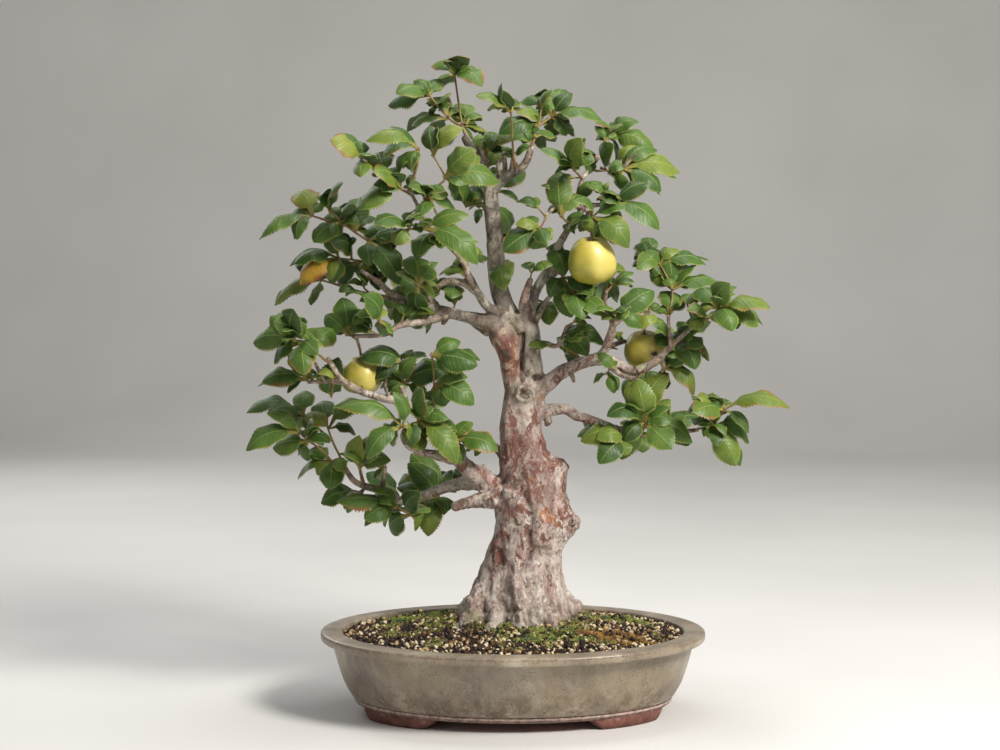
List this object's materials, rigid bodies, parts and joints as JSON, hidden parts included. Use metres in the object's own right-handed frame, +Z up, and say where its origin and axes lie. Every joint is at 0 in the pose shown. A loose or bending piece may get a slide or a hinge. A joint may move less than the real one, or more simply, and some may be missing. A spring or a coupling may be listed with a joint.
{
  "type": "chinese quince bonsai",
  "caption": "Informal bonsai tree with flaking bark, toothed leaves and yellow-green quinces, standing in mossy soil in an oval glazed pot on cloud feet.",
  "frame": {"origin": "on the ground under the middle of the pot, which is also the middle of the whole part seen from above", "axes": "+Z up; the tree's front faces -Y; +X is to the right seen from the front"},
  "size_m": [0.545, 0.29, 0.6614],
  "materials": {
    "glaze": "satin grey-cream glaze with brown mottling, unglazed brown ring and feet",
    "soil": "dark granular soil with pale grit",
    "bark": "smooth flaking bark in cream, pink-brown, red-brown and orange",
    "fruit": "waxy greenish yellow with small brown specks",
    "leaf": "green, satin above, fine teeth with a yellow-green margin",
    "young_leaf": "lighter yellow-green leaf, satin above",
    "moss": "matte green cushion moss",
    "rust_moss": "matte orange-brown moss",
    "mesh": "black plastic mesh"
  },
  "bodies": {
    "root": {"drain_screen_left": "mesh", "drain_screen_right": "mesh", "fruit_left": "fruit", "fruit_right": "fruit", "fruit_upper": "fruit", "moss_back_left": "moss", "moss_back_right": "moss", "moss_front": "moss", "moss_front_right": "rust_moss", "moss_left": "moss", "pot": "glaze", "shoot_back_base": "leaf", "shoot_back_left": "leaf", "shoot_back_low": "young_leaf", "shoot_back_right": "young_leaf", "shoot_back_top": "leaf", "shoot_base_inner": "leaf", "shoot_base_middle": "young_leaf", "shoot_base_outer": "leaf", "shoot_base_under": "young_leaf", "shoot_base_upper": "young_leaf", "shoot_bend_end": "leaf", "shoot_crown_left": "leaf", "shoot_crown_middle": "leaf", "shoot_crown_right": "young_leaf", "shoot_knee_end": "young_leaf", "shoot_leader_spur": "young_leaf", "shoot_left_limb_hanging": "leaf", "shoot_left_prong_end": "young_leaf", "shoot_left_prong_low_end": "leaf", "shoot_left_prong_low_spur": "young_leaf", "shoot_left_top_inner": "leaf", "shoot_left_top_outer": "young_leaf", "shoot_low_left_end": "leaf", "shoot_low_left_fork_end": "young_leaf", "shoot_low_left_front": "young_leaf", "shoot_low_left_knee": "leaf", "shoot_low_left_rising": "young_leaf", "shoot_low_left_upper": "leaf", "shoot_low_right_end": "young_leaf", "shoot_low_right_inner": "leaf", "shoot_low_right_middle": "young_leaf", "shoot_pale_forward": "leaf", "shoot_pale_low": "leaf", "shoot_pale_outer": "young_leaf", "shoot_right_end": "young_leaf", "shoot_right_fork_end": "young_leaf", "shoot_right_fork_spur": "leaf", "shoot_right_under": "leaf", "shoot_right_upper": "leaf", "shoot_upright_end": "leaf", "shoot_upright_fruit_leaf": "leaf", "shoot_upright_fruit_spur": "young_leaf", "shoot_upright_knee": "leaf", "shoot_upright_left_spur": "young_leaf", "shoot_upright_top_end": "leaf", "shoot_upright_top_left": "young_leaf", "shoot_upright_top_right": "young_leaf", "soil": "soil", "wood": "bark"}
  },
  "joints": []
}
